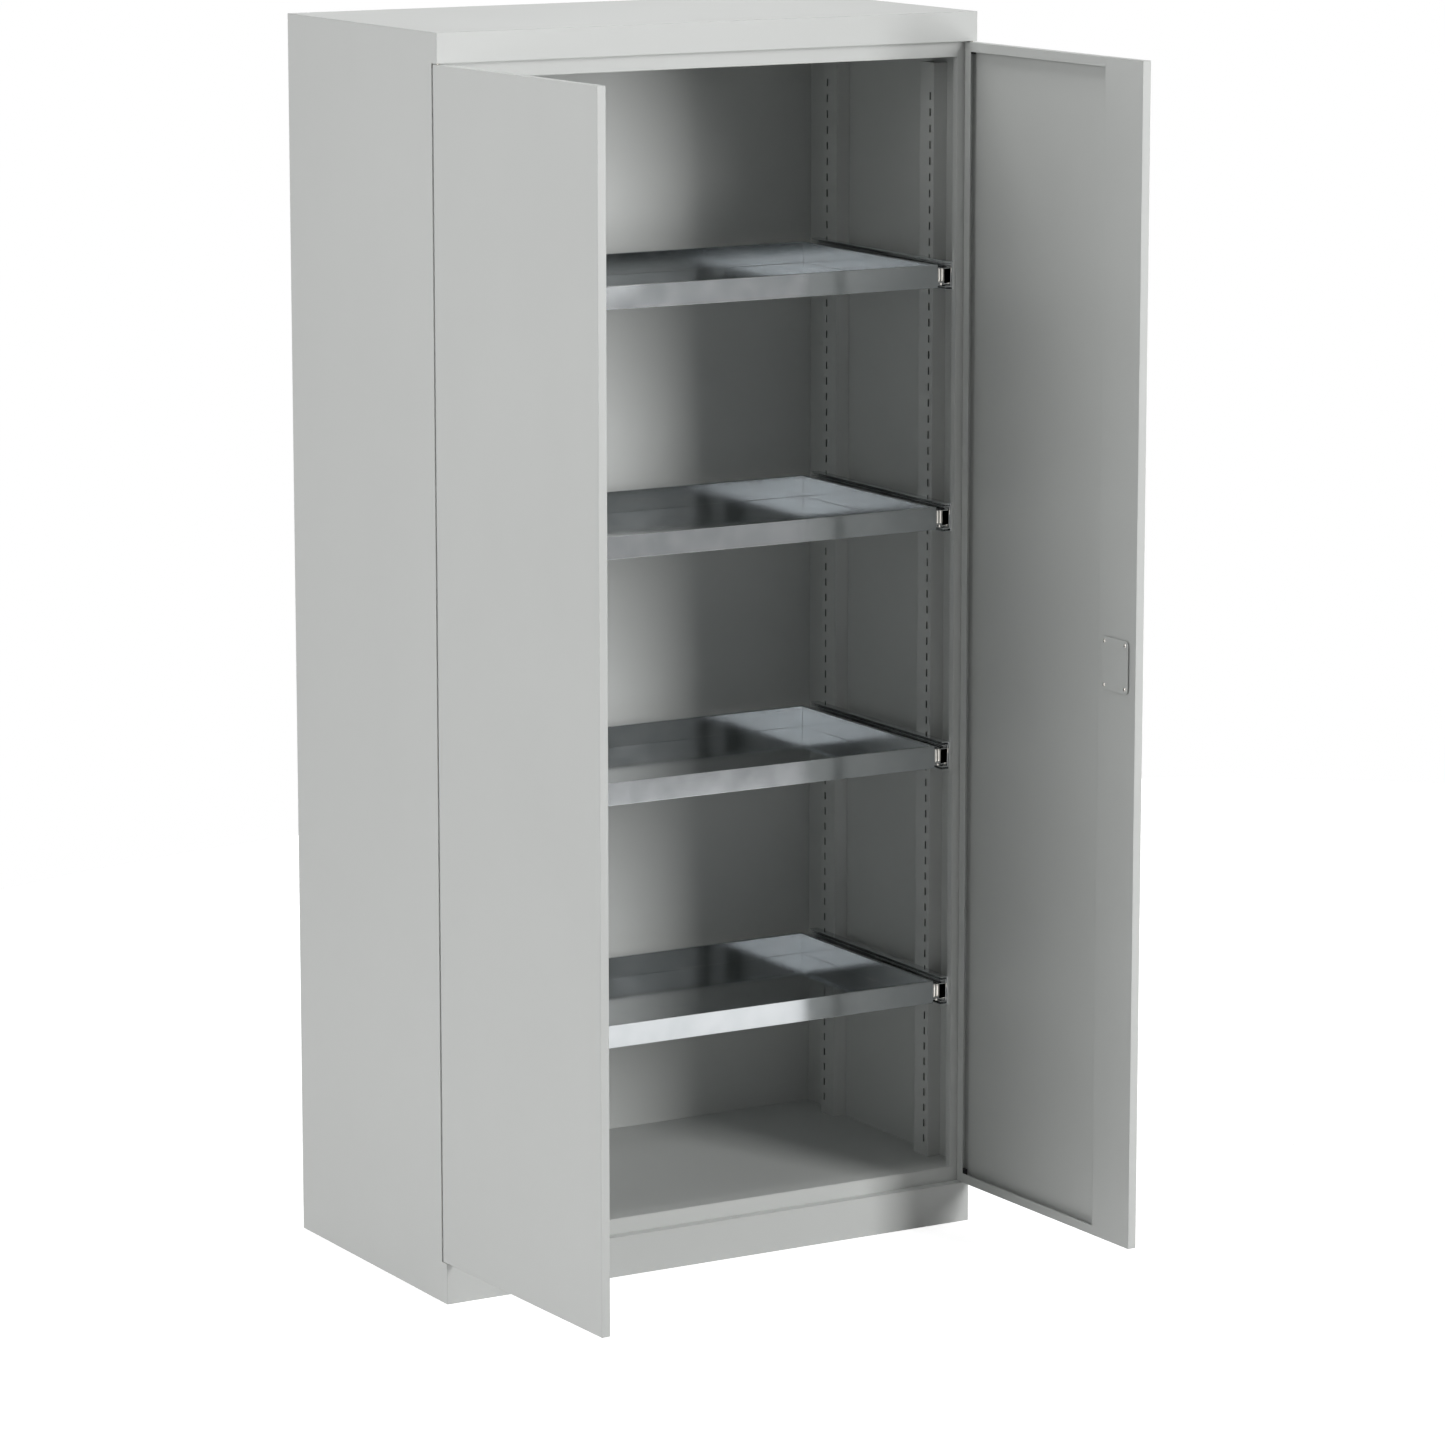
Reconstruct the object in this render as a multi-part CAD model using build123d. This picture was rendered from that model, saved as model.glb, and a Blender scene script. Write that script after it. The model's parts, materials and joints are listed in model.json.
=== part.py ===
# A tall steel storage cupboard with two wing doors and four pull-out trays on telescopic rails.
# The front face is y = 0 while the pieces are made, and +Y runs to the back.
from build123d import *

import os
from math import cos, radians, sin

# Carcass
width = 950
depth = 500
height = 1950
sheet = 1
plinth_height = 64
fascia_height = 46
stop_setback = 17
stop_width = 25
stop_lip = 12
foot_width = 30
floor_height = 89
floor_skirt = 20
floor_rest = 28
# The origin lies on the floor on the centre line, this far behind the front face
origin_setback = 20

# Doors
door_gap = 1.5
door_thickness = 14
door_return = 15
stile_width = 97
stiffener_flange = 12
left_open_angle = 88.1
right_open_angle = 91.5

# Hinges
hinge_inset = 6
pin_radius = 2.5
pin_reach = 14
pin_head_radius = 4.5
pin_head = 3
pin_fit = 0.05
pin_wall_clearance = 0.6
bush_height = 18
bush_gap = 0.3

# Posts
post_width = 41
post_front = 85
post_rear_gap = 81
post_top_gap = 85
slot_pitch = 25.67
slot_width = 4
slot_height = 12
slot_inset = 11
first_slot = 118
slot_end_margin = 50

# Trays and their rails
tray_count = 4
low_slot_count = 11
spare_slot_count = 7
tray_under_slot = 2.5
tray_height = 36
tray_setback = 25
tray_rear_gap = 67
tray_sheet = 1.2
tray_rim = 4
rail_space = 29
rail_height = 46
rail_depth = 14
rail_sheet = 1.5
rail_end_gap = 1
rail_web_gap = 1.2
ball_space = 3.5
ball_clearance = 0.15
ball_pitch = 24
cage_thickness = 1
cage_width = 6
hook_width = 2.5
hook_height = 8
hook_clearance = 0.3
hook_thickness = 2
hook_drop = 3
bumper_height = 21
bumper_width = 11
bumper_length = 6

# Lock in the right door
lock_height = 978
cover_width = 70
cover_height = 83
cover_thickness = 1.5
cover_edge = 16
cover_corner = 8
rivet_spacing_x = 54
rivet_spacing_z = 68
rivet_radius = 1.6
rivet_head_radius = 3.2
rivet_head = 1.2
dish_width = 50
dish_height = 62
dish_corner = 9
dish_rim = 5
dish_rim_thickness = 1
dish_wall = 1.5
dish_floor = 8.5
grip_length = 44
grip_width = 13
grip_top = 0.6
grip_base = 6.6
spindle_radius = 6
spindle_fit = 0.05
cylinder_radius = 4.2
cylinder_fit = 0.05
cylinder_depth = 4
key_slit_width = 1.2
key_slit_length = 5
key_slit_depth = 2.5
cam_radius = 16
cam_gap = 0.3
cam_thickness = 1.8
crank_radius = 11
crank_pin_radius = 2
crank_play = 0.6
crank_start_angle = 45
rod_width = 14
rod_thickness = 1.8
rod_gap = 0.2
rod_clearance = 0.4
rod_end_gap = 0.5
overrun = 5

# Worked out from the sizes above
half = width / 2
inner_half = half - sheet
stop_half = half - stop_width
fascia_bottom = height - fascia_height
roof_bottom = height - sheet
door_bottom = plinth_height + door_gap
door_top = fascia_bottom - door_gap
door_inner = door_thickness - sheet
post_bottom = floor_height
post_top = height - post_top_gap
slot_count = int((post_top - slot_end_margin - first_slot) / slot_pitch) + 1
tray_step = int((slot_count - spare_slot_count) / tray_count)
tray_half = stop_half - rail_space
tray_depth = depth - tray_setback - tray_rear_gap
hinge_x = half - hinge_inset
free_x = door_gap
stile_x = free_x + stile_width
cover_x = free_x + cover_edge + cover_width / 2
crank_lean = crank_radius * cos(radians(crank_start_angle))
crank_throw = crank_radius * sin(radians(crank_start_angle))
# How far each rod's centre line lies from the spindle's
rod_offset = (crank_radius + crank_lean) / 2
rod_front = dish_floor + cam_gap + cam_thickness + rod_gap
rod_back = rod_front + rod_thickness


def slab(x0, x1, y0, y1, z0, z1):
    """A block between two corners."""
    return Pos(x0, y0, z0) * Box(x1 - x0, y1 - y0, z1 - z0, align=(Align.MIN,) * 3)


def post_rod(x, y, z0, z1, radius):
    """An upright cylinder."""
    return Pos(x, y, z0) * Cylinder(radius, z1 - z0, align=(Align.CENTER, Align.CENTER, Align.MIN))


def along_y(x, z, y0, y1, radius):
    """A cylinder that runs to the back from y0 to y1."""
    turned = Rot(-90, 0, 0) * Cylinder(radius, y1 - y0, align=(Align.CENTER, Align.CENTER, Align.MIN))
    return Pos(x, y0, z) * turned


def rounded_plate(x, z, wide, high, corner, y0, y1):
    """An upright plate with round corners, centred on x and z."""
    outline = Plane.XZ * RectangleRounded(wide, high, corner)
    return Pos(x, y1, z) * extrude(outline, y1 - y0)


def flip(shape):
    """The same piece for the other side of the cupboard."""
    return mirror(shape, about=Plane.YZ)


# Carcass


def side_panel():
    """Right side: one sheet, cut back at the front where the door folds round it."""
    panel = slab(inner_half, half, sheet, depth, 0, roof_bottom)
    panel -= slab(inner_half - overrun, half + overrun, 0, stop_setback, plinth_height, fascia_bottom)
    foot_x = inner_half - foot_width
    return panel + slab(foot_x, inner_half, foot_width + sheet, depth - foot_width, 0, sheet)


def back_panel():
    panel = slab(-inner_half, inner_half, depth - sheet, depth, 0, roof_bottom)
    return panel + slab(-inner_half, inner_half, depth - foot_width, depth - sheet, 0, sheet)


def roof_panel():
    """Roof with the fascia folded down at its front edge."""
    roof = slab(-half, half, 0, depth, roof_bottom, height)
    return roof + slab(-half, half, 0, sheet, fascia_bottom, height)


def rod_slot(way, z0, z1):
    """Opening in a ledge for the end of a lock rod, over the place of the rod when the door is shut."""
    play = 2 * rod_clearance
    reach = rod_width / 2 + play
    x = cover_x + way * rod_offset
    return slab(x - reach, x + reach, rod_front - play, rod_back + play, z0 - overrun, z1 + overrun)


def pin_holes(z0, z1):
    holes = [post_rod(s * hinge_x, hinge_inset, z0 - overrun, z1 + overrun, pin_radius) for s in (-1, 1)]
    return holes[0] + holes[1]


def upper_stop_rail():
    """Ledge under the fascia with the stop face folded down from it."""
    top = fascia_bottom + sheet
    back = stop_setback + sheet
    low = fascia_bottom - stop_width
    rail = slab(-inner_half, inner_half, sheet, back, fascia_bottom, top)
    rail += slab(-stop_half, stop_half, stop_setback, back, low, fascia_bottom)
    rail += slab(-stop_half, stop_half, back, stop_setback + stop_lip, low, low + sheet)
    return rail - rod_slot(1, fascia_bottom, top) - pin_holes(fascia_bottom, top)


def plinth():
    """Kick plate with a foot flange below and the door ledge above."""
    low = plinth_height - sheet
    kick = slab(-half, half, 0, sheet, 0, plinth_height)
    kick += slab(-inner_half, inner_half, sheet, foot_width, 0, sheet)
    kick += slab(-inner_half, inner_half, sheet, stop_setback + sheet, low, plinth_height)
    return kick - rod_slot(-1, low, plinth_height) - pin_holes(low, plinth_height)


def lower_stop_rail():
    """Stop face above the plinth, with a shelf that carries the floor panel's front edge."""
    top = floor_height - sheet
    rail = slab(-inner_half, inner_half, stop_setback, stop_setback + sheet, plinth_height, top)
    rail += slab(-inner_half, inner_half, stop_setback + sheet, stop_setback + floor_rest, top - sheet, top)
    return rail


def floor_panel():
    """Floor sheet with skirts folded down along the sides and the back."""
    low = floor_height - sheet
    foot = low - floor_skirt
    back = depth - sheet
    start = stop_setback + floor_rest
    floor = slab(-inner_half, inner_half, stop_setback, back, low, floor_height)
    floor += slab(-inner_half, sheet - inner_half, start, back, foot, low)
    floor += slab(inner_half - sheet, inner_half, start, back, foot, low)
    floor += slab(sheet - inner_half, inner_half - sheet, back - sheet, back, foot, low)
    return floor


def jamb():
    """Right upright of the stop frame, with its inner edge folded back."""
    back = stop_setback + sheet
    lip_x = stop_half + sheet
    face = slab(stop_half, inner_half, stop_setback, back, floor_height, fascia_bottom)
    return face + slab(stop_half, lip_x, back, stop_setback + stop_lip, floor_height, fascia_bottom)


def slot_place(number):
    return first_slot + number * slot_pitch


def upright_post(front, slot_y):
    """Channel on the right side wall, with a row of slots in the face that looks inwards."""
    back = front + post_width
    post = slab(stop_half, stop_half + sheet, front, back, post_bottom, post_top)
    post += slab(stop_half + sheet, inner_half, front, front + sheet, post_bottom, post_top)
    post += slab(stop_half + sheet, inner_half, back - sheet, back, post_bottom, post_top)
    x0 = stop_half - overrun
    x1 = stop_half + overrun
    y0 = slot_y - slot_width / 2
    y1 = slot_y + slot_width / 2
    slots = []
    for number in range(slot_count):
        z0 = slot_place(number) - slot_height / 2
        slots.append(slab(x0, x1, y0, y1, z0, z0 + slot_height))
    return post - slots


front_slot_y = post_front + slot_inset
rear_post_front = depth - post_rear_gap - post_width
rear_slot_y = depth - post_rear_gap - slot_inset


# Hinges


def hinge_pin(z_wall, z_wall_far, z_door):
    """A pivot pin: a head behind the ledge, a shank through it and into the door."""
    way = 1 if z_door > z_wall_far else -1
    head = sorted((z_wall, z_wall - way * pin_head))
    shank = sorted((z_wall, z_door + way * pin_reach))
    pin = post_rod(hinge_x, hinge_inset, *head, pin_head_radius)
    return pin + post_rod(hinge_x, hinge_inset, *shank, pin_radius)


def upper_pin():
    return hinge_pin(fascia_bottom + sheet, fascia_bottom, door_top)


def lower_pin():
    """The lower pin also has a collar that carries the door."""
    pin = hinge_pin(plinth_height - sheet, plinth_height, door_bottom)
    return pin + post_rod(hinge_x, hinge_inset, plinth_height, door_bottom, pin_head_radius)


def hinge_bush(z0):
    """Block inside the door's corner that turns on a hinge pin."""
    edge = inner_half - bush_gap
    near = 2 * hinge_x - edge
    block = slab(near, edge, sheet, door_inner, z0, z0 + bush_height)
    z1 = z0 + bush_height
    return block - post_rod(hinge_x, hinge_inset, z0 - overrun, z1 + overrun, pin_radius + pin_fit)


def hinge_bushes():
    low = hinge_bush(door_bottom + sheet)
    high = hinge_bush(door_top - sheet - bush_height)
    return Compound(children=[low, high])


# Doors, made shut on the right side


def door_pan():
    """Door leaf: a skin folded back all round, with a narrow return on three sides."""
    low = door_bottom + sheet
    top = door_top - sheet
    pan = slab(free_x, half, 0, door_thickness, door_bottom, door_top)
    pan -= slab(free_x + sheet, inner_half, sheet, door_inner, low, top)
    pan -= slab(stile_x, half - door_return, door_inner, door_thickness + overrun,
                door_bottom + door_return, door_top - door_return)
    pan -= slab(free_x + sheet, stile_x, door_inner, door_thickness + overrun, low, top)
    hole = pin_radius + pin_wall_clearance
    for z0, z1 in ((door_bottom, low), (top, door_top)):
        pan -= post_rod(hinge_x, hinge_inset, z0 - overrun, z1 + overrun, hole)
    return pan


def door_stile():
    """Plate that closes the door's free side over the lock."""
    return slab(free_x + sheet, stile_x, door_inner, door_thickness, door_bottom + sheet, door_top - sheet)


def door_stiffener():
    """Channel between the skin and the stile's inner edge, which makes the free side a box."""
    low = door_bottom + sheet
    top = door_top - sheet
    x0 = stile_x - stiffener_flange
    channel = slab(stile_x - sheet, stile_x, sheet, door_inner, low, top)
    channel += slab(x0, stile_x, sheet, 2 * sheet, low, top)
    return channel + slab(x0, stile_x, door_inner - sheet, door_inner, low, top)


# Lock, made in the shut right door


def rivet_places():
    for sx in (-1, 1):
        for sz in (-1, 1):
            yield cover_x + sx * rivet_spacing_x / 2, lock_height + sz * rivet_spacing_z / 2


def lock_window():
    """Opening in the stile behind the cover, through which the lock is put in."""
    wide = rivet_spacing_x - 4 * rivet_head_radius
    high = rivet_spacing_z - 4 * rivet_head_radius
    y0 = door_inner - overrun
    return rounded_plate(cover_x, lock_height, wide, high, cover_corner, y0, door_thickness + overrun)


def rivet_holes(y0, y1):
    return [along_y(x, z, y0, y1, rivet_radius) for x, z in rivet_places()]


def lock_cover():
    plate = rounded_plate(cover_x, lock_height, cover_width, cover_height, cover_corner,
                          door_thickness, door_thickness + cover_thickness)
    return plate - rivet_holes(door_thickness - overrun, door_thickness + cover_thickness + overrun)


def lock_rivets():
    top = door_thickness + cover_thickness
    rivets = []
    for x, z in rivet_places():
        shank = along_y(x, z, door_inner, top, rivet_radius)
        rivets.append(shank + along_y(x, z, top, top + rivet_head, rivet_head_radius))
    return Compound(children=rivets)


def dish_block(growth, y0, y1):
    """Block with the dish's outline, made larger all round by growth."""
    wide = dish_width + 2 * growth
    high = dish_height + 2 * growth
    return rounded_plate(cover_x, lock_height, wide, high, dish_corner + growth, y0, y1)


def handle_dish():
    """Flush dish set into the skin, in which the handle turns."""
    dish = dish_block(dish_rim, -dish_rim_thickness, 0) + dish_block(0, 0, dish_floor)
    dish -= dish_block(-dish_wall, -dish_rim_thickness - overrun, dish_floor - dish_wall)
    return dish - along_y(cover_x, lock_height, 0, dish_floor + overrun, spindle_radius + spindle_fit)


def turn_handle():
    """Grip with a spindle that goes through the dish to the cam."""
    outline = Plane.XZ * SlotOverall(grip_length, grip_width, rotation=90)
    grip = Pos(cover_x, grip_base, lock_height) * extrude(outline, grip_base - grip_top)
    grip += along_y(cover_x, lock_height, grip_base, dish_floor + cam_gap, spindle_radius)
    bore_end = grip_top + cylinder_depth
    return grip - along_y(cover_x, lock_height, grip_top - overrun, bore_end, cylinder_radius)


def lock_cylinder():
    """Plug with a key slit, in the face of the handle."""
    radius = cylinder_radius - cylinder_fit
    plug = along_y(cover_x, lock_height, grip_top, grip_top + cylinder_depth, radius)
    x0 = cover_x - key_slit_width / 2
    x1 = cover_x + key_slit_width / 2
    z0 = lock_height - key_slit_length / 2
    z1 = lock_height + key_slit_length / 2
    return plug - slab(x0, x1, grip_top - overrun, grip_top + key_slit_depth, z0, z1)


def lock_cam():
    """Disc behind the dish with two crank pins, one for each rod."""
    y0 = dish_floor + cam_gap
    y1 = y0 + cam_thickness
    cam = along_y(cover_x, lock_height, y0, y1, cam_radius)
    for s in (1, -1):
        x = cover_x + s * crank_lean
        z = lock_height - s * crank_throw
        cam += along_y(x, z, y1, rod_back, crank_pin_radius)
    return cam


def lock_rod(way):
    """Flat rod from its crank pin to the door's end wall; way is 1 for the upper rod, -1 for the lower."""
    x = cover_x + way * rod_offset
    pin_z = lock_height - way * crank_throw
    reach = crank_pin_radius + crank_play
    foot = pin_z - way * 2 * reach
    end = door_top - rod_end_gap if way > 0 else door_bottom + rod_end_gap
    z0, z1 = sorted((foot, end))
    rod = slab(x - rod_width / 2, x + rod_width / 2, rod_front, rod_back, z0, z1)
    run = (crank_radius - crank_lean) / 2 + reach
    y0 = rod_front - overrun
    y1 = rod_back + overrun
    return rod - slab(x - run, x + run, y0, y1, pin_z - reach, pin_z + reach)


def rod_way(way):
    """Slot in the door's end wall that guides a rod."""
    x = cover_x + way * rod_offset
    z = door_top if way > 0 else door_bottom
    reach = rod_width / 2 + rod_clearance
    y0 = rod_front - rod_clearance
    y1 = rod_back + rod_clearance
    return slab(x - reach, x + reach, y0, y1, z - overrun, z + overrun)


# Trays and rails, made on the right side for the lowest tray


def tray_top(number):
    return slot_place(low_slot_count + number * tray_step) - tray_under_slot


def tray(top):
    """Shallow tray folded from one sheet, with its rim turned in."""
    low = top - tray_height

    def block(inset, z0, z1):
        """A block that keeps the same distance from the tray's four sides."""
        x = tray_half - inset
        return slab(-x, x, tray_setback + inset, tray_setback + tray_depth - inset, z0, z1)

    body = block(0, low, top) - block(tray_sheet, low + tray_sheet, top - tray_sheet)
    return body - block(tray_sheet + tray_rim, top - tray_sheet - overrun, top + overrun)


rail_front = tray_setback + rail_end_gap
rail_back = tray_setback + tray_depth - rail_end_gap
middle_height = rail_height - 2 * rail_sheet - 2 * ball_space
inner_height = middle_height - 2 * rail_sheet - 2 * ball_space
middle_web = stop_half - rail_sheet - rail_web_gap
inner_reach = middle_web - rail_sheet - rail_web_gap


def channel(web_x, open_x, high, z):
    """A rail member: a web at web_x and two flanges that reach to open_x, along Y."""
    way = 1 if open_x > web_x else -1
    low = z - high / 2
    x0, x1 = sorted((web_x, web_x + way * rail_sheet))
    rail = slab(x0, x1, rail_front, rail_back, low, low + high)
    f0, f1 = sorted((web_x, open_x))
    rail += slab(f0, f1, rail_front, rail_back, low, low + rail_sheet)
    return rail + slab(f0, f1, rail_front, rail_back, low + high - rail_sheet, low + high)


def hook(y, z):
    """Tab that rests on a slot's lower edge, with a nose that drops behind the post's face."""
    y0 = y - hook_width / 2
    y1 = y + hook_width / 2
    nose = stop_half + sheet + hook_clearance
    low = z - slot_height / 2
    top = low + hook_height
    tab = slab(stop_half, nose + hook_thickness, y0, y1, low, top)
    return tab + slab(nose, nose + hook_thickness, y0, y1, low - hook_drop, top)


def outer_rail(z, slot_z):
    rail = channel(stop_half, stop_half - rail_depth, rail_height, z)
    for y in (front_slot_y, rear_slot_y):
        for step in (0, 1):
            rail += hook(y, slot_z - step * slot_pitch)
    return rail


def ball_strip(x, z, y0, y1):
    """Cage strip with its row of balls."""
    strip = Pos(x, (y0 + y1) / 2, z) * Box(cage_width, y1 - y0, cage_thickness)
    count = int((y1 - y0 - ball_space) / ball_pitch)
    start = (y0 + y1) / 2 - (count - 1) * ball_pitch / 2
    ball = Sphere(ball_space / 2 - ball_clearance)
    return strip + [Pos(x, start + number * ball_pitch, z) * ball for number in range(count)]


def middle_rail(z):
    """Middle member with its four ball strips: two run in the outer rail, two carry the inner one."""
    open_x = stop_half - rail_depth
    pieces = [channel(middle_web, open_x, middle_height, z)]
    strip_x = (open_x + middle_web - rail_sheet) / 2
    half_way = (rail_front + rail_back) / 2
    outer_z = (rail_height - 2 * rail_sheet - ball_space) / 2
    inner_z = (middle_height - 2 * rail_sheet - ball_space) / 2
    for s in (-1, 1):
        pieces.append(ball_strip(strip_x, z + s * outer_z, half_way, rail_back))
        pieces.append(ball_strip(strip_x, z + s * inner_z, rail_front, half_way))
    return Compound(children=pieces)


def inner_rail(z):
    return channel(tray_half, inner_reach, inner_height, z)


def rail_bumper(z):
    """Stop block in the front end of the inner member."""
    x0 = tray_half + rail_sheet
    high = min(bumper_height, inner_height - 2 * rail_sheet)
    return slab(x0, x0 + bumper_width, rail_front, rail_front + bumper_length, z - high / 2, z + high / 2)


def swing(shape, side, angle):
    """Turn a shut piece of a door about its hinge to the place where it rests; side is -1 left, 1 right."""
    pivot = Pos(side * hinge_x, hinge_inset, 0)
    return pivot * Rot(0, 0, side * angle) * pivot.inverse() * shape


def save(name, shape):
    placed = Pos(0, -origin_setback, 0) * shape
    export_step(placed, os.path.join("parts", name + ".step"))


def main():
    os.makedirs("parts", exist_ok=True)

    right_side = side_panel()
    save("right_side_panel", right_side)
    save("left_side_panel", flip(right_side))
    save("back_panel", back_panel())
    save("roof_panel", roof_panel())
    save("upper_stop_rail", upper_stop_rail())
    save("plinth", plinth())
    save("lower_stop_rail", lower_stop_rail())
    save("floor_panel", floor_panel())
    right_jamb = jamb()
    save("right_jamb", right_jamb)
    save("left_jamb", flip(right_jamb))
    posts = {
        "front": upright_post(post_front, front_slot_y),
        "rear": upright_post(rear_post_front, rear_slot_y),
    }
    for place, post in posts.items():
        save("right_" + place + "_post", post)
        save("left_" + place + "_post", flip(post))
    save("upper_hinge_pins", Compound(children=[upper_pin(), flip(upper_pin())]))
    save("lower_hinge_pins", Compound(children=[lower_pin(), flip(lower_pin())]))

    pan = door_pan()
    stile = door_stile()
    stiffener = door_stiffener()
    bushes = hinge_bushes()
    left_pieces = {
        "left_door_pan": pan,
        "left_door_stile": stile,
        "left_door_stiffener": stiffener,
        "left_hinge_bushes": bushes,
    }
    for name, shape in left_pieces.items():
        save(name, swing(flip(shape), -1, left_open_angle))
    locked_pan = pan - dish_block(0, -overrun, overrun) - rod_way(1) - rod_way(-1)
    locked_stile = stile - lock_window() - rivet_holes(door_inner - overrun, door_thickness + overrun)
    right_pieces = {
        "right_door_pan": locked_pan,
        "right_door_stile": locked_stile,
        "right_door_stiffener": stiffener,
        "right_hinge_bushes": bushes,
        "lock_cover": lock_cover(),
        "lock_rivets": lock_rivets(),
        "handle_dish": handle_dish(),
        "turn_handle": turn_handle(),
        "lock_cylinder": lock_cylinder(),
        "lock_cam": lock_cam(),
        "upper_lock_rod": lock_rod(1),
        "lower_lock_rod": lock_rod(-1),
    }
    for name, shape in right_pieces.items():
        save(name, swing(shape, 1, right_open_angle))

    for number in range(tray_count):
        top = tray_top(number)
        slot_z = top + tray_under_slot
        middle = top - tray_height / 2
        tag = "_" + str(number + 1)
        save("tray" + tag, tray(top))
        pieces = {
            "outer_rail": outer_rail(middle, slot_z),
            "middle_rail": middle_rail(middle),
            "inner_rail": Compound(children=[inner_rail(middle), rail_bumper(middle)]),
        }
        for name, shape in pieces.items():
            save("right_" + name + tag, shape)
            save("left_" + name + tag, flip(shape))


main()
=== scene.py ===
# %% [markdown]
# # A steel storage cupboard, dressed for its portrait
# The cupboard is folded from thin sheet steel, so nearly all of its shape is flat faces and crisp
# bends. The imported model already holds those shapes. What is left for Blender is the finish: what
# powder coat, zinc plate and moulded plastic do to light. We load the model as a fixed frame and
# never move a part of it.

# %% Load the frame
import json
import math

import bmesh
import bpy
import numpy as np
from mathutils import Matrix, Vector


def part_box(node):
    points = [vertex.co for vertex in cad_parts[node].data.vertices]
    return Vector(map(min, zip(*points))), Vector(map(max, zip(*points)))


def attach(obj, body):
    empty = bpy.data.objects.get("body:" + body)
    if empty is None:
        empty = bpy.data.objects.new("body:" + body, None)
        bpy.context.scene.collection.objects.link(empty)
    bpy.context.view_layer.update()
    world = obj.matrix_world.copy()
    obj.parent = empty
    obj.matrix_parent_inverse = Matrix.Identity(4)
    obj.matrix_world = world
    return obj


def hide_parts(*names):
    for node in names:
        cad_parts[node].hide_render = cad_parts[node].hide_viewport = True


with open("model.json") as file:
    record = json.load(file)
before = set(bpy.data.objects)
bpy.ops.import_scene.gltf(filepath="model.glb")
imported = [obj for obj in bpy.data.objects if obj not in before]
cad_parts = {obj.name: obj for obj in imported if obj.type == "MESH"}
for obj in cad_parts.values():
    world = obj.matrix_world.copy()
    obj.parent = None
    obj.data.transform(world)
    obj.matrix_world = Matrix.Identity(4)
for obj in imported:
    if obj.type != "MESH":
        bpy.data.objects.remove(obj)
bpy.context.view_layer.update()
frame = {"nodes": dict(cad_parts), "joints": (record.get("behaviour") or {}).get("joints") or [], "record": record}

# %% [markdown]
# ## The camera
# The picture is taken with a long lens from the left and from above, about nine metres away. A
# long lens keeps the far edges nearly as long as the near ones, which is what makes a tall
# cupboard look calm. The picture's own uprights are parallel, as from a lens that is shifted far
# down. We tilt the camera instead and keep the shift small, because other views of the same scene
# keep it and would lose the object.

# %% Camera
IMAGE_WIDTH = 1445
FOCAL_PIXELS = 5775.3
CAMERA_PLACE = (-4.4263, -7.6344, 2.5523)
CAMERA_YAW = 30.253
CAMERA_PITCH = 10.265
SENSOR_WIDTH = 36.0
LENS_SHIFT = -0.04
FAR_CLIP = 200

camera_data = bpy.data.cameras.new("camera")
camera_data.sensor_width = SENSOR_WIDTH
camera_data.lens = FOCAL_PIXELS / IMAGE_WIDTH * SENSOR_WIDTH
camera_data.shift_y = LENS_SHIFT
camera_data.clip_end = FAR_CLIP
camera = bpy.data.objects.new("camera", camera_data)
camera.location = CAMERA_PLACE
camera.rotation_euler = (math.radians(90 - CAMERA_PITCH), 0, math.radians(-CAMERA_YAW))
bpy.context.scene.collection.objects.link(camera)
bpy.context.scene.camera = camera
print("lens:", round(camera_data.lens, 1), "mm")

# %% [markdown]
# ## Colours and nodes
# A material is a small graph of nodes. One helper adds a node with its settings and gives each
# socket a value or the output that feeds it, so a finish reads as a short list of steps. Colours
# are written as the hex values that a paint card gives, and another helper turns them to the
# linear values that the renderer works in.

# %% Colours and nodes
MM = 0.001
# A Mix node's colour sockets share their names with its number sockets, so they go by their place.
COLOUR_A, COLOUR_B, COLOUR_RESULT = 6, 7, 2


def linear(hex_colour):
    """Linear colour of an sRGB hex value: a straight line up to 0.04045, then a power of 2.4."""
    value = np.array([int(hex_colour[i:i + 2], 16) / 255 for i in (1, 3, 5)])
    curve = np.where(value <= 0.04045, value / 12.92, ((value + 0.055) / 1.055) ** 2.4)
    return (*curve.tolist(), 1.0)


def add(tree, kind, sockets=None, **settings):
    """Adds a node: settings are its properties, sockets are values or the outputs that feed it."""
    node = tree.nodes.new(kind)
    for name, value in settings.items():
        setattr(node, name, value)
    for name, value in (sockets or {}).items():
        if isinstance(value, bpy.types.NodeSocket):
            tree.links.new(value, node.inputs[name])
        else:
            node.inputs[name].default_value = value
    return node


def new_material(name):
    """An empty material with its tree, the place on the object in metres, and its output."""
    material = bpy.data.materials.new(name)
    material.use_nodes = True
    tree = material.node_tree
    tree.nodes.clear()
    place = add(tree, "ShaderNodeTexCoord").outputs["Object"]
    output = add(tree, "ShaderNodeOutputMaterial")
    return material, tree, place, output


WHITE = linear("#FFFFFF")
print("the grey #808080 is", round(linear("#808080")[0], 3), "of white in linear light")

# %% [markdown]
# ## What every finish has
# No real surface is quite even. Each finish here has two patterns of lumps with a real size: a
# drift, by which its colour and gloss change a little, and a finer grain, which is the height of a
# bump. A pattern is given as the size of its lumps and its detail, the layers of finer lumps that
# lie over them. Under the bump, a Bevel node rounds the light on the folds without changing their
# shape.

# %% Finish
BEVEL_SAMPLES = 4
NOISE_LOW, NOISE_HIGH = 0.3, 0.7


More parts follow.
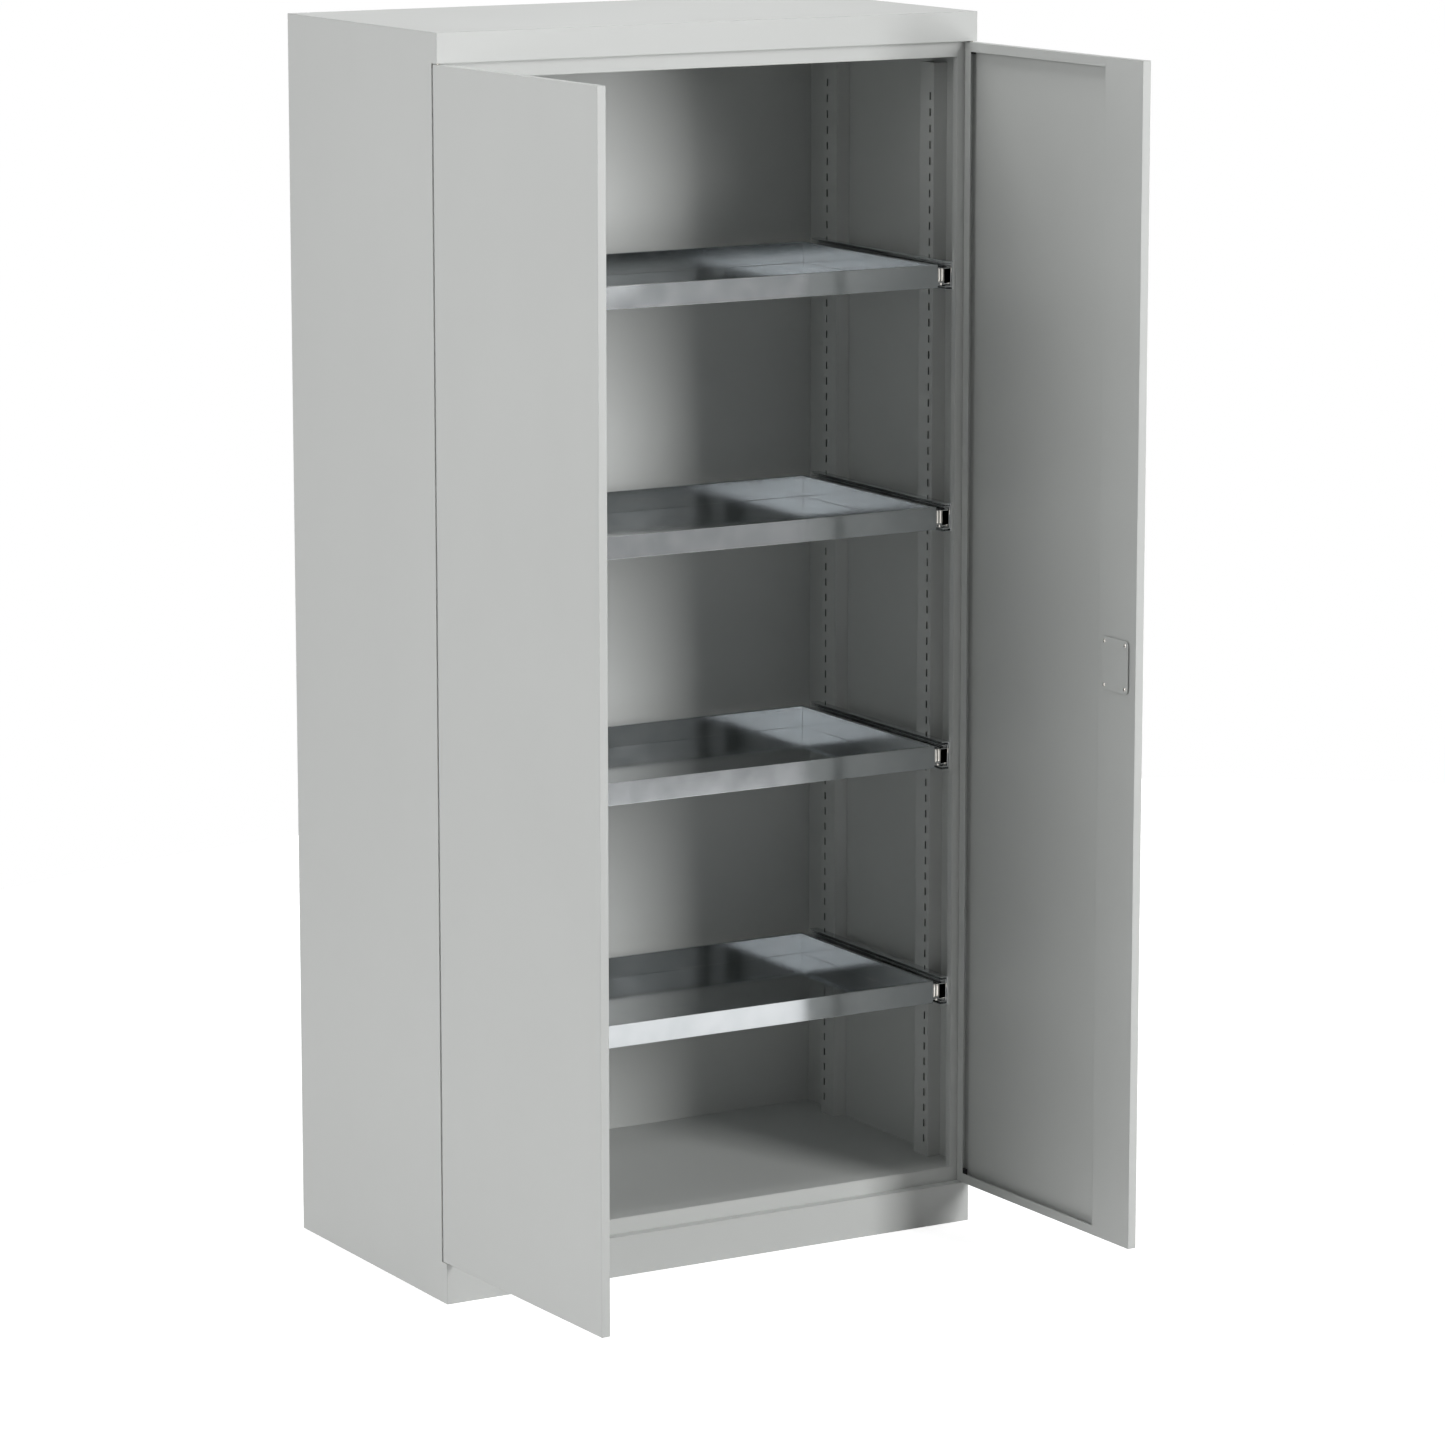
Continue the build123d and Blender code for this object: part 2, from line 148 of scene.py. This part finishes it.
def lumps(tree, place, size, detail, stretch=(1, 1, 1)):
    """Noise with lumps about size metres across; stretch makes them longer along an axis."""
    scale = tuple(1 / (size * s) for s in stretch)
    moved = add(tree, "ShaderNodeMapping", {"Vector": place, "Scale": scale})
    pattern = add(tree, "ShaderNodeTexNoise",
                  {"Vector": moved.outputs["Vector"], "Scale": 1.0, "Detail": detail})
    return pattern.outputs["Fac"]


def finish(name, colours, roughness, drift, grain, relief, fold, shader):
    """A material whose drift blends two colours and runs through a range of roughness. Relief is
    the strength and the depth of the grain's bump, and fold is the radius of the folds."""
    material, tree, place, output = new_material(name)
    wide, fine = lumps(tree, place, *drift), lumps(tree, place, *grain)
    share, rough = (add(tree, "ShaderNodeMapRange",
                        {"Value": wide, "From Min": NOISE_LOW, "From Max": NOISE_HIGH,
                         "To Min": low, "To Max": high}) for low, high in ((0.0, 1.0), roughness))
    colour = add(tree, "ShaderNodeMix",
                 {"Factor": share.outputs["Result"],
                  COLOUR_A: linear(colours[0]), COLOUR_B: linear(colours[1])}, data_type="RGBA")
    folds = add(tree, "ShaderNodeBevel", {"Radius": fold}, samples=BEVEL_SAMPLES)
    skin = add(tree, "ShaderNodeBump", {"Strength": relief[0], "Distance": relief[1],
                                        "Height": fine, "Normal": folds.outputs["Normal"]})
    surface = add(tree, "ShaderNodeBsdfPrincipled",
                  {"Base Color": colour.outputs[COLOUR_RESULT],
                   "Roughness": rough.outputs["Result"], "Normal": skin.outputs["Normal"],
                   **shader})
    tree.links.new(surface.outputs["BSDF"], output.inputs["Surface"])
    return material


print("noise counts from", NOISE_LOW, "to", NOISE_HIGH)

# %% [markdown]
# ## Light grey powder coat
# Powder coat is dry paint that is dusted on and melted in an oven. It flows out almost flat, with
# a faint skin like orange peel whose lumps are one to three millimetres wide, and it rounds every
# folded edge by about a millimetre. The peel is too fine to see as lumps from metres away: its
# bump only softens the gloss a little. Colour and gloss drift weakly from panel to panel.

# %% Powder coat
PANEL_DRIFT = (260 * MM, 3.0)
PEEL, PEEL_RELIEF = (2.5 * MM, 1.0), (0.35, 0.012 * MM)
FOLD_RADIUS = 1.2 * MM
PAINT_COLOURS = ("#C9CBC9", "#CCCECC")
PAINT_ROUGHNESS = (0.38, 0.46)
PAINT_IOR = 1.5


def powder_coat(name):
    """Paint: the finish whose grain is the peel and whose drift is as wide as a panel."""
    return finish(name, PAINT_COLOURS, PAINT_ROUGHNESS, PANEL_DRIFT, PEEL, PEEL_RELIEF,
                  FOLD_RADIUS, {"Metallic": 0.0, "IOR": PAINT_IOR})


light_grey = powder_coat("light_grey_powder_coat")
print("paint:", light_grey.name)

# %% [markdown]
# ## Painted shade in the posts' slots
# The posts are bent strip with two rows of slots. Through a slot one sees its cut edge and the
# hollow of the post behind it, where little light reaches, so both are painted near black as shade.
# An edge is only a millimetre deep, but it fills nearly half of what one sees of a slot from the
# side, and a light edge would hide the dark slot. The painted places are found by where they are:
# behind the post's face, and close to one of the two rows of slots.
# place: behind the post's face, and close to one of the two rows of slots.

# %% Painted slot shade
POST_FACE, FACE_MARGIN = 450 * MM, 0.1 * MM
SLOT_ROWS = (76 * MM, 388 * MM)
SLOT_REACH = 3 * MM
# Near-black colour painted into the slots as shade.
SLOT_SHADE_COLOUR = "#1B1C1C"


def slot_shaded_coat(name):
    """Powder coat, with near-black painted shade where |x| > the post's face and y is within reach of a row."""
    material = powder_coat(name)
    tree = material.node_tree
    paint = next(node for node in tree.nodes if node.type == "BSDF_PRINCIPLED")
    coat = paint.inputs["Base Color"].links[0].from_socket
    place = add(tree, "ShaderNodeTexCoord").outputs["Object"]
    x, y, _ = add(tree, "ShaderNodeSeparateXYZ", {"Vector": place}).outputs
    across = add(tree, "ShaderNodeMath", {0: x}, operation="ABSOLUTE").outputs["Value"]
    behind = add(tree, "ShaderNodeMath", {0: across, 1: POST_FACE + FACE_MARGIN},
                 operation="GREATER_THAN").outputs["Value"]
    front, rear = (add(tree, "ShaderNodeMath", {0: y, 1: row, 2: SLOT_REACH},
                       operation="COMPARE").outputs["Value"] for row in SLOT_ROWS)
    near = add(tree, "ShaderNodeMath", {0: front, 1: rear}, operation="MAXIMUM").outputs["Value"]
    painted_shade = add(tree, "ShaderNodeMath", {0: behind, 1: near}, operation="MULTIPLY").outputs["Value"]
    # Mixes the painted shade into the paint's colour at the slots.
    mix = add(tree, "ShaderNodeMix", {"Factor": painted_shade, COLOUR_A: coat,
                                      COLOUR_B: linear(SLOT_SHADE_COLOUR)}, data_type="RGBA")
    tree.links.new(mix.outputs[COLOUR_RESULT], paint.inputs["Base Color"])
    return material


slot_shaded_grey = slot_shaded_coat("light_grey_powder_coat_slot_shade")
print("posts:", slot_shaded_grey.name)

# %% [markdown]
# ## Bright zinc plate
# The trays and rails are steel sheet with a bright coat of zinc. Zinc is a metal, so it has no
# colour of its own under the gloss: it shows the room, blurred by the fine lines that rolling
# leaves in the sheet. The lines run along the sheet, so they are stretched ten times as long that
# way. Real ones are finer, and they are drawn 0.8 millimetres wide so that they still show. They
# are a very low bump, and the gloss itself drifts over clouds some centimetres wide.

# %% Zinc plate
CLOUDS = (45 * MM, 3.0)
ROLL_LINES, LINE_RELIEF = (0.8 * MM, 2.0), (0.06, 0.01 * MM)
ROUGHNESS_BELOW, ROUGHNESS_ABOVE = 0.015, 0.02


def zinc_plate(name, colours, roughness, stretch):
    """Metal: the finish whose grain is the rolling lines and whose drift is the small clouds."""
    gloss = (roughness - ROUGHNESS_BELOW, roughness + ROUGHNESS_ABOVE)
    return finish(name, colours, gloss, CLOUDS, (*ROLL_LINES, stretch), LINE_RELIEF,
                  FOLD_RADIUS, {"Metallic": 1.0})


tray_zinc = zinc_plate("bright_zinc_plated_sheet", ("#AFB3B5", "#B8BBBD"), 0.1, (10, 1, 1))
rail_zinc = zinc_plate("bright_zinc_plated_rail", ("#C2C5C6", "#D6D8D9"), 0.14, (1, 10, 1))
print("metals:", tray_zinc.name, rail_zinc.name)

# %% [markdown]
# ## Small parts of the lock
# Handle and dish are moulded from black glass-filled nylon, whose mould is lightly etched, so the
# black is matt and a little lighter where the light grazes it. The etched grain is drawn coarser
# than it is, or it would not show. Rivets, pins and rods are nickel-plated steel, a warmer metal
# than zinc.

# %% Lock finishes
ETCH, ETCH_RELIEF = (0.6 * MM, 2.0), (0.3, 0.02 * MM)
NYLON_EDGE = 0.5 * MM
NYLON_ROUGHNESS = (0.45, 0.6)
NYLON_IOR = 1.53

black_nylon = finish("black_moulded_nylon", ("#141415", "#1E1F20"), NYLON_ROUGHNESS, ETCH, ETCH,
                     ETCH_RELIEF, NYLON_EDGE, {"Metallic": 0.0, "IOR": NYLON_IOR})
nickel = zinc_plate("nickel_plated_steel", ("#D3D0CA", "#DFDCD6"), 0.14, (1, 1, 6))
print("lock:", black_nylon.name, nickel.name)

# %% [markdown]
# ## Give each part its finish
# The record names a material slot for every part, so the finishes follow those names. The trays
# have a finish of their own inside the zinc slot, because their sheet was rolled crosswise and the
# rails lengthwise, and so have the posts inside the paint slot, because shade is painted into their slots.

# %% Assign
finish_of = {"light_grey_paint": light_grey, "bright_zinc": rail_zinc,
             "nickel_plate": nickel, "dark_plastic": black_nylon}
slot_of = {part["node"]: part["material_slot"] for part in frame["record"]["subparts"]}
for name, part in frame["nodes"].items():
    look = finish_of[slot_of[name]]
    if name.startswith("tray_"):
        look = tray_zinc
    if name.endswith("_post"):
        look = slot_shaded_grey
    part.data.materials.clear()
    part.data.materials.append(look)
print("finished parts:", len(slot_of))

# %% [markdown]
# ## Small pieces that the frame leaves plain
# A few details are too small for the frame and still catch the eye: the lock cover, which stands a
# little off the door, the domed heads of its four rivets, and the latch levers and stops at the
# front ends of the rails. All are surfaces of two parameters, so one helper turns grids of points
# to a mesh. A second one makes a closed piece of it: it merges the doubled points, turns the faces
# outwards, and hangs the piece on a body.

# %% Mesh helpers
MERGE_DISTANCE, SLIVER_LENGTH = 0.002 * MM, 0.001 * MM
SHARP_ANGLE = math.radians(40)


def grid_mesh(name, grids, material):
    """One mesh from grids of points, each rows x columns x 3, with a quad between each four."""
    points, quads, count = [], [], 0
    for grid in grids:
        rows, columns = grid.shape[:2]
        number = count + np.arange(rows * columns).reshape(rows, columns)
        corners = [number[:-1, :-1], number[:-1, 1:], number[1:, 1:], number[1:, :-1]]
        quads.append(np.stack(corners, -1).reshape(-1, 4))
        points.append(grid.reshape(-1, 3))
        count += rows * columns
    mesh = bpy.data.meshes.new(name)
    mesh.from_pydata(np.concatenate(points).tolist(), [], np.concatenate(quads).tolist())
    mesh.materials.append(material)
    piece = bpy.data.objects.new(name, mesh)
    bpy.context.scene.collection.objects.link(piece)
    return piece


def surface_mesh(name, grids, material, body):
    """One closed piece on a body, from grids that are joined where their points meet."""
    piece = grid_mesh(name, grids, material)
    work = bmesh.new()
    work.from_mesh(piece.data)
    bmesh.ops.remove_doubles(work, verts=work.verts, dist=MERGE_DISTANCE)
    bmesh.ops.dissolve_degenerate(work, edges=work.edges, dist=SLIVER_LENGTH)
    bmesh.ops.recalc_face_normals(work, faces=work.faces)
    work.to_mesh(piece.data)
    work.free()
    piece.data.shade_smooth()
    piece.data.set_sharp_from_angle(angle=SHARP_ANGLE)
    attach(piece, body)
    return piece


print("edges over", round(math.degrees(SHARP_ANGLE)), "degrees stay crisp")

# %% [markdown]
# ## Lock cover
# The cover over the lock is a flat plate with round corners. It stands off the door on the collars
# of its rivets, so a dark gap shows under its free edge. A flat plate is its outline carried over
# four steps: the middle of the front, the front edge, the back edge and the middle of the back.
# The door stands open, so places measured on the shut door are turned about its hinge.

# %% Cover
DOOR_FACE = 14 * MM
COVER_BACK, COVER_FACE = 15.8 * MM, 16.8 * MM
COVER_MIDDLE = (52.5 * MM, 978 * MM)
COVER_WIDE, COVER_HIGH, COVER_CORNER = 70 * MM, 83 * MM, 8 * MM
CORNER_POINTS = 7
FRONT_TO_ORIGIN = 20 * MM
OPEN_ANGLE = math.radians(91.5)
swing = next(joint for joint in frame["joints"] if joint["name"] == "right_door_swing")
HINGE = np.array(swing["pos_m"])


def on_open_door(points):
    """Points of the shut right door, turned about its upright hinge: x and y, measured from the
    hinge, are mixed by the cosine and the sine of the angle at which the door stands."""
    away = points - [0, FRONT_TO_ORIGIN, 0] - HINGE
    c, s = math.cos(OPEN_ANGLE), math.sin(OPEN_ANGLE)
    x, y = c * away[..., 0] - s * away[..., 1], s * away[..., 0] + c * away[..., 1]
    return np.stack([x, y, away[..., 2]], -1) + HINGE


def cover_plate(middle, wide, high, corner, back, front):
    """Four quarter circles, each about its own centre, joined by straight runs: the outline. It is
    scaled to 0, 1, 1 and 0 over the four steps, where the depth is front, front, back and back."""
    quarter = np.linspace(0, np.pi / 2, CORNER_POINTS)
    turn = np.concatenate([quarter + k * np.pi / 2 for k in range(4)] + [[0.0]])
    signs = np.array([[1, -1, -1, 1, 1], [1, 1, -1, -1, 1]])
    quadrant = np.repeat(signs, [CORNER_POINTS] * 4 + [1], axis=1)
    half = np.array([[wide / 2 - corner], [high / 2 - corner]])
    outline = quadrant * half + corner * np.stack([np.cos(turn), np.sin(turn)])
    scale = np.array([0, 1, 1, 0])[:, None]
    depth = np.array([front, front, back, back])[:, None] + 0 * turn
    return np.stack([middle[0] + scale * outline[0], depth, middle[1] + scale * outline[1]], -1)


plate = cover_plate(COVER_MIDDLE, COVER_WIDE, COVER_HIGH, COVER_CORNER, COVER_BACK, COVER_FACE)
cover = surface_mesh("standing_lock_cover", [on_open_door(plate)], light_grey,
                     "right_door")
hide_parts("lock_cover")
plain, standing = np.array(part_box("lock_cover")), np.array(cover.bound_box)
print("plain cover:", np.round(plain[0], 4), "to", np.round(plain[1], 4))
print("standing cover:", np.round(standing.min(0), 4), "to", np.round(standing.max(0), 4))

# %% [markdown]
# ## Domed rivets
# A pop rivet leaves a low dome about six millimetres wide. Its outline is a quarter ellipse for
# the dome, then straight runs under the rim and down the shank, and the whole is that outline
# carried round the rivet's axis.

# %% Rivets
RIVET_RADIUS, RIVET_HEIGHT = 3.2 * MM, 2.0 * MM
SHANK_RADIUS, SHANK_SUNK = 1.6 * MM, 1 * MM
SHANK_LENGTH = COVER_FACE - DOOR_FACE + SHANK_SUNK
RIVET_OFFSET = (27 * MM, 34 * MM)
DOME_POINTS, RING_POINTS = 9, 33


def rivet(x, z):
    """Radius and height run along a quarter ellipse, then under the rim and down the shank; both
    go round y."""
    arc = np.linspace(0, np.pi / 2, DOME_POINTS)
    radius = np.concatenate([RIVET_RADIUS * np.sin(arc), [SHANK_RADIUS, SHANK_RADIUS, 0]])
    height = np.concatenate([RIVET_HEIGHT * np.cos(arc), [0, -SHANK_LENGTH, -SHANK_LENGTH]])
    turn = np.linspace(0, 2 * np.pi, RING_POINTS)[:, None]
    return np.stack([x + radius * np.cos(turn), COVER_FACE + height + 0 * turn,
                     z + radius * np.sin(turn)], -1)


places = [(COVER_MIDDLE[0] + i * RIVET_OFFSET[0], COVER_MIDDLE[1] + j * RIVET_OFFSET[1])
          for i in (-1, 1) for j in (-1, 1)]
rivets = surface_mesh("domed_rivets", [on_open_door(rivet(x, z)) for x, z in places],
                      nickel, "right_door")
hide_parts("lock_rivets")
print("rivets:", len(rivets.data.polygons), "faces, from", np.round(rivets.bound_box[0], 4))

# %% [markdown]
# ## Latch levers and stops
# Each inner rail ends in a small plated lever that is pressed to lift the tray out. From the front
# it is two upright ribs side by side over a round nub, and each rib mirrors the white side of the
# room as a bright line. Beside it a stop is bent up from the inner rail's lower flange, and
# another from the middle rail's web, which travels half as far and so is a piece of its own. Every
# face is a height over a flat rectangle that falls off at its rim, closed by the same rectangle
# with no height.

# %% Levers
LEVER_WIDTH, LEVER_HIGH, LEVER_DEPTH = 11 * MM, 21.6 * MM, 1.8 * MM
LEVER_MIDDLE, LEVER_LIFT = 428 * MM, 2.2 * MM
STEP_SHARE, STEP_RIM, HUMP_RIM = 0.2, 16, 8
NUB_RADIUS, NUB_DROP = 2.3 * MM, 12.6 * MM
STOP_DEPTH = 1.2 * MM
LOW_STOP_MIDDLE, LOW_STOP_DROP, LOW_STOP_SIZE = 442.2 * MM, 11.8 * MM, (4.6 * MM, 2.4 * MM)
TALL_STOP_MIDDLE, TALL_STOP_LIFT, TALL_STOP_SIZE = 446.5 * MM, 8.5 * MM, (2.2 * MM, 9 * MM)
RAIL_UNDER_RIM = 18 * MM
RAIL_SETBACK = 26 * MM
RAIL_FRONT = RAIL_SETBACK - FRONT_TO_ORIGIN
ACROSS_POINTS, UP_POINTS = 33, 25
AROUND_POINTS, DOWN_POINTS = 25, 13
across, up = np.meshgrid(np.linspace(0, 1, ACROSS_POINTS), np.linspace(-1, 1, UP_POINTS))


def face_and_back(x, z, size, depth):
    """Two sheets over one rectangle: one depth in front of the rail's end, one flat against it."""
    front, back = (np.stack([x + (across - 0.5) * size[0], RAIL_FRONT - d,
                             z + up * size[1] / 2], -1) for d in (depth, 0 * depth))
    return [front, back]


def ribs(x, z):
    """Depth is a low step plus two humps across, each the root of a half sine, and falls off at
    the rim."""
    step = STEP_SHARE * (1 - (2 * across - 1) ** STEP_RIM)
    humps = (1 - STEP_SHARE) * np.sqrt(np.abs(np.sin(2 * np.pi * across)))
    depth = LEVER_DEPTH * (step + humps) * (1 - up ** HUMP_RIM)
    return face_and_back(x, z, (LEVER_WIDTH, LEVER_HIGH), depth)


def stop(x, z, size):
    """Depth is a circle's root in each direction, so the stop is rounded like a pillow."""
    depth = STOP_DEPTH * np.sqrt((1 - (2 * across - 1) ** 2) * (1 - up ** 2))
    return face_and_back(x, z, size, depth)


def nub(x, z):
    """A ball: latitude and longitude, half sunk behind the rail's front."""
    turn, lean = np.meshgrid(np.linspace(0, 2 * np.pi, AROUND_POINTS),
                             np.linspace(0, np.pi, DOWN_POINTS))
    ring = NUB_RADIUS * np.sin(lean)
    return np.stack([x + ring * np.cos(turn), RAIL_FRONT + ring * np.sin(turn),
                     z + NUB_RADIUS * np.cos(lean)], -1)


for number in range(1, 5):
    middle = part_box(f"tray_{number}")[1].z - RAIL_UNDER_RIM
    for word, side in (("left", -1), ("right", 1)):
        grids = ribs(side * LEVER_MIDDLE, middle + LEVER_LIFT)
        grids.append(nub(side * LEVER_MIDDLE, middle - NUB_DROP))
        grids += stop(side * LOW_STOP_MIDDLE, middle - LOW_STOP_DROP, LOW_STOP_SIZE)
        lever = surface_mesh(f"{word}_latch_lever_{number}", grids, nickel,
                             f"tray_{number}")
        tall = stop(side * TALL_STOP_MIDDLE, middle + TALL_STOP_LIFT, TALL_STOP_SIZE)
        tall_stop = surface_mesh(f"{word}_rail_stop_{number}", tall, nickel,
                                 f"middle_rails_{number}")
print("faces of a lever:", len(lever.data.polygons), "and a stop:", len(tall_stop.data.polygons))

# %% [markdown]
# ## The floor
# The studio floor is a round white board. It takes the cupboard's shadow, and a glow for the rays
# of the camera and of gloss lifts it to white, so no more light falls on the cupboard for it. The
# glow is a little weaker round the foot, or the shadow would drown in it. The board ends three
# metres in front: the lowest tray mirrors it, the second catches its edge as a bright line, and
# the upper two look past it.

# %% Floor
FLOOR_RADIUS, FLOOR_HOLE = 3.15, 0.01
FLOOR_MIDDLE = (1.2, 0.1)
FLOOR_POINTS = 65
FLOOR_GREY = "#C8C8C8"
FOOT = (0.0, 0.25, 0.0)
FOOT_GLOW, GLOW_START, GLOW_END = 0.8, 0.9, 2.0


def studio_white(name):
    """A board that keeps the shadow, lifted to white by a glow for the rays that see it; the glow
    rises with the distance from the foot."""
    material, tree, place, output = new_material(name)
    away = add(tree, "ShaderNodeVectorMath", {0: place, 1: FOOT}, operation="DISTANCE")
    rise = add(tree, "ShaderNodeMapRange",
               {"Value": away.outputs["Value"], "From Min": GLOW_START, "From Max": GLOW_END,
                "To Min": FOOT_GLOW, "To Max": 1.0})
    path = add(tree, "ShaderNodeLightPath").outputs
    seen = add(tree, "ShaderNodeMath", {0: path["Is Camera Ray"], 1: path["Is Glossy Ray"]},
               operation="MAXIMUM")
    glow = add(tree, "ShaderNodeMath", {0: seen.outputs["Value"], 1: rise.outputs["Result"]},
               operation="MULTIPLY")
    board = add(tree, "ShaderNodeBsdfDiffuse", {"Color": linear(FLOOR_GREY)})
    light = add(tree, "ShaderNodeEmission", {"Color": WHITE, "Strength": glow.outputs["Value"]})
    both = add(tree, "ShaderNodeAddShader",
               {0: board.outputs["BSDF"], 1: light.outputs["Emission"]})
    tree.links.new(both.outputs["Shader"], output.inputs["Surface"])
    return material


turn, reach = np.meshgrid(np.linspace(0, 2 * np.pi, FLOOR_POINTS), [FLOOR_HOLE, FLOOR_RADIUS])
board = np.stack([FLOOR_MIDDLE[0] + reach * np.cos(turn), FLOOR_MIDDLE[1] + reach * np.sin(turn),
                  np.zeros_like(turn)], -1)
floor = grid_mesh("studio_floor", [board], studio_white("studio_white_floor"))
print("floor:", len(floor.data.polygons), "faces, radius", FLOOR_RADIUS, "m")

# %% [markdown]
# ## The light
# A tall soft light stands to the front right and shines past the right door, which is why the left
# of the back wall is bright and the right of it is dark: the edge of that shadow is the door's
# free edge. A broad light on the left gives the side and the door their even grey, and one above
# lights the roof. Weak lights on the right and behind keep the sides that the picture doesn't show
# from going dark. A small far panel stands behind the camera: two tray walls and the tray's bottom
# meet at a right angle and send light back where it came from, so each inner corner shows that
# panel. The room is white to the camera. Gloss sees it white to the left and grey to the right,
# which gives the trays their calm fronts. All other rays get only a dim room, so the white adds no
# light.

# %% Light
WORLD_LIGHT = 0.13
GREY_WALL, WALL_START, WALL_END = 0.5, 0.1, 0.3
MIDDLE = (0, 0.2, 1.0)
# Each lamp's place and then its width, its height and its power, in metres and watts.
LAMPS = {"key_light": ((1.68, -4.5, 2.4), 0.7, 3.0, 160),
         "left_light": ((-4.3, -0.8, 1.95), 2.6, 3.4, 109),
         "top_light": ((0.0, 0.2, 3.6), 2.0, 1.4, 28),
         "far_panel": ((-6.33, -10.8, 3.2), 0.18, 0.9, 3.0),
         "right_light": ((4.6, 1.1, 1.9), 1.8, 2.6, 60),
         "back_light": ((0.5, 5.0, 1.8), 1.8, 2.4, 70)}

world = bpy.data.worlds.new("studio")
bpy.context.scene.world = world
world.use_nodes = True
sky = world.node_tree
sky.nodes.clear()
way = add(sky, "ShaderNodeTexCoord").outputs["Generated"]
side = add(sky, "ShaderNodeSeparateXYZ", {"Vector": way}).outputs["X"]
wall = add(sky, "ShaderNodeMapRange",
           {"Value": side, "From Min": WALL_START, "From Max": WALL_END,
            "To Min": 1.0, "To Max": GREY_WALL}).outputs["Result"]
path = add(sky, "ShaderNodeLightPath").outputs
gloss = add(sky, "ShaderNodeMix", {"Factor": path["Is Glossy Ray"], "A": WORLD_LIGHT, "B": wall})
level = add(sky, "ShaderNodeMix", {"Factor": path["Is Camera Ray"],
                                   "A": gloss.outputs["Result"], "B": 1.0})
background = add(sky, "ShaderNodeBackground",
                 {"Color": WHITE, "Strength": level.outputs["Result"]})
add(sky, "ShaderNodeOutputWorld", {"Surface": background.outputs["Background"]})


def soft_light(name, place, wide, high, power):
    """A flat lamp of wide x high metres at a place, turned to face the middle of the cupboard."""
    data = bpy.data.lights.new(name, "AREA")
    data.shape = "RECTANGLE"
    data.size, data.size_y = wide, high
    data.energy = power
    lamp = bpy.data.objects.new(name, data)
    lamp.location = place
    x, y, z = np.array(MIDDLE) - np.array(place)
    lamp.rotation_euler = (math.atan2(math.hypot(x, y), -z), 0, math.atan2(-x, y))
    bpy.context.scene.collection.objects.link(lamp)


for name, settings in LAMPS.items():
    soft_light(name, *settings)
bpy.context.scene.view_settings.view_transform = "Standard"
print("lamps:", ", ".join(LAMPS))
